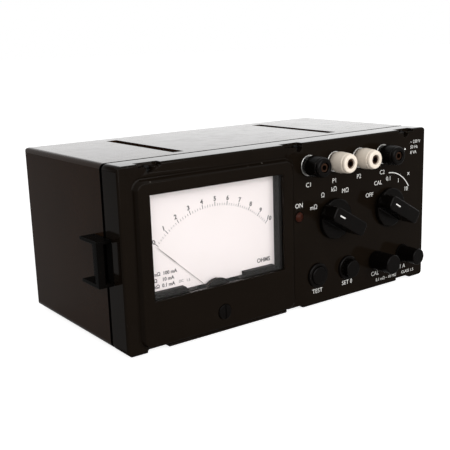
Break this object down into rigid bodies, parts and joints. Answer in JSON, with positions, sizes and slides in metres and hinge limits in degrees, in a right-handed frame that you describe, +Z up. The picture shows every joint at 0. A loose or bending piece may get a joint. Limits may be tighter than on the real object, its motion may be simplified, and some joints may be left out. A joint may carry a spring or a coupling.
{
  "type": "microohmmeter",
  "caption": "Portable bench microohmmeter with a moving-coil dial meter, screw terminals for test leads, rotary range knobs and a row of adjusters in a black moulded case.",
  "frame": {"origin": "centre of the bounding box at the plane it stands on", "axes": "+X to the right seen from the front, +Y from the panel to the back, +Z up"},
  "size_m": [0.308, 0.164, 0.127],
  "materials": {
    "case_plastic": "semi-gloss",
    "panel_plastic": "gloss",
    "knob_plastic": "satin",
    "ivory_plastic": "satin",
    "foot_rubber": "matte",
    "screw_steel": "brushed",
    "washer_chrome": "polished",
    "window_glass": "clear",
    "dial_frame_plastic": "matte",
    "dial_paint": "satin",
    "needle_paint": "matte",
    "soft_iron": "ground",
    "magnet_iron": "ground",
    "movement_alloy": "satin",
    "brass": "satin",
    "jewel_ruby": "polished",
    "coil_copper": "enamelled",
    "staff_steel": "ground",
    "lamp_red": "gloss",
    "holder_plastic": "matte",
    "bush_resin": "matte",
    "switch_zinc": "satin",
    "wafer_resin": "matte",
    "pot_blue": "satin",
    "fuse_glass": "clear",
    "board_green": "satin",
    "part_black": "satin",
    "core_steel": "varnished"
  },
  "bodies": {
    "instrument": {"rear_case": "case_plastic", "front_panel": "panel_plastic", "case_feet": "foot_rubber", "case_screws": "screw_steel", "strap_lug_left": "holder_plastic", "strap_lug_right": "holder_plastic", "meter_glass": "window_glass", "dial_frame": "dial_frame_plastic", "dial_plate": "dial_paint", "hub_cover": "dial_frame_plastic", "pole_shoes": "soft_iron", "magnet_bars": "magnet_iron", "movement_frame": "movement_alloy", "iron_core": "soft_iron", "core_keys": "brass", "front_bridge": "brass", "rear_bridge": "brass", "jewel_bearings": "jewel_ruby", "lamp_lens": "lamp_red", "lamp_holder": "holder_plastic", "terminal_posts": "brass", "terminal_washers": "washer_chrome", "terminal_bushes": "bush_resin", "terminal_nuts": "brass", "range_switch": "switch_zinc", "mode_switch": "switch_zinc", "switch_wafers": "wafer_resin", "switch_nuts": "screw_steel", "control_collars": "knob_plastic", "button_spring": "staff_steel", "button_switch": "holder_plastic", "zero_pot": "pot_blue", "cal_pot": "pot_blue", "fuse_holder": "holder_plastic", "main_board": "board_green", "board_parts": "part_black", "transformer_core": "core_steel", "transformer_winding": "coil_copper", "supply_inlet": "holder_plastic"},
    "needle_unit": {"pivot_staff": "staff_steel", "moving_coil": "coil_copper", "needle": "needle_paint", "hairspring": "coil_copper"},
    "zero_adjuster": {"zero_screw": "knob_plastic"},
    "zero_lever_arm": {"zero_lever": "brass"},
    "range_control": {"range_knob": "knob_plastic", "range_shaft": "staff_steel"},
    "mode_control": {"mode_knob": "knob_plastic", "mode_shaft": "staff_steel"},
    "zero_control": {"zero_knob": "knob_plastic"},
    "cal_control": {"cal_knob": "knob_plastic", "cal_shaft": "staff_steel"},
    "test_key": {"test_button": "knob_plastic"},
    "terminal_screw_1": {"terminal_cap_1": "knob_plastic"},
    "terminal_screw_2": {"terminal_cap_2": "ivory_plastic"},
    "terminal_screw_3": {"terminal_cap_3": "ivory_plastic"},
    "terminal_screw_4": {"terminal_cap_4": "knob_plastic"},
    "fuse_carrier": {"fuse_cap": "knob_plastic", "fuse_link": "fuse_glass"}
  },
  "joints": [
    {"name": "needle_swing", "type": "hinge", "parent": "instrument", "child": "needle_unit", "pos_m": [-0.067, -0.055, 0.0287], "axis": [0, 1, 0], "range_deg": [-2, 98], "stiffness_Nm_per_rad": 0.0004},
    {"name": "zero_adjust_turn", "type": "hinge", "parent": "instrument", "child": "zero_adjuster", "pos_m": [-0.067, -0.064, 0.0175], "axis": [0, 1, 0], "range_deg": [-40, 40]},
    {"name": "zero_lever_swing", "type": "hinge", "parent": "instrument", "child": "zero_lever_arm", "pos_m": [-0.067, -0.0573, 0.0287], "axis": [0, 1, 0], "range_deg": [-7, 7]},
    {"name": "range_turn", "type": "hinge", "parent": "instrument", "child": "range_control", "pos_m": [0.04, -0.071, 0.0667], "axis": [0, 1, 0], "range_deg": [0, 90]},
    {"name": "mode_turn", "type": "hinge", "parent": "instrument", "child": "mode_control", "pos_m": [0.1, -0.071, 0.0667], "axis": [0, 1, 0], "range_deg": [0, 120]},
    {"name": "zero_turn", "type": "hinge", "parent": "instrument", "child": "zero_control", "pos_m": [0.054, -0.066, 0.0252], "axis": [0, 1, 0], "range_deg": [-150, 150]},
    {"name": "cal_turn", "type": "hinge", "parent": "instrument", "child": "cal_control", "pos_m": [0.0855, -0.072, 0.0252], "axis": [0, 1, 0], "range_deg": [-150, 150]},
    {"name": "test_press", "type": "slide", "parent": "instrument", "child": "test_key", "axis": [0, 1, 0], "range_m": [0, 0.003], "stiffness_N_per_m": 800, "deforming": ["button_spring"]},
    {"name": "terminal_unscrew_1", "type": "slide", "parent": "instrument", "child": "terminal_screw_1", "axis": [0, -1, 0], "range_m": [0, 0.006]},
    {"name": "terminal_unscrew_2", "type": "slide", "parent": "instrument", "child": "terminal_screw_2", "axis": [0, -1, 0], "range_m": [0, 0.006]},
    {"name": "terminal_unscrew_3", "type": "slide", "parent": "instrument", "child": "terminal_screw_3", "axis": [0, -1, 0], "range_m": [0, 0.006]},
    {"name": "terminal_unscrew_4", "type": "slide", "parent": "instrument", "child": "terminal_screw_4", "axis": [0, -1, 0], "range_m": [0, 0.006]},
    {"name": "fuse_draw", "type": "slide", "parent": "instrument", "child": "fuse_carrier", "axis": [0, -1, 0], "range_m": [0, 0.03]}
  ],
  "couplings": [
    {"joint": "zero_lever_swing", "follows": "zero_adjust_turn", "ratio": -0.165}
  ]
}
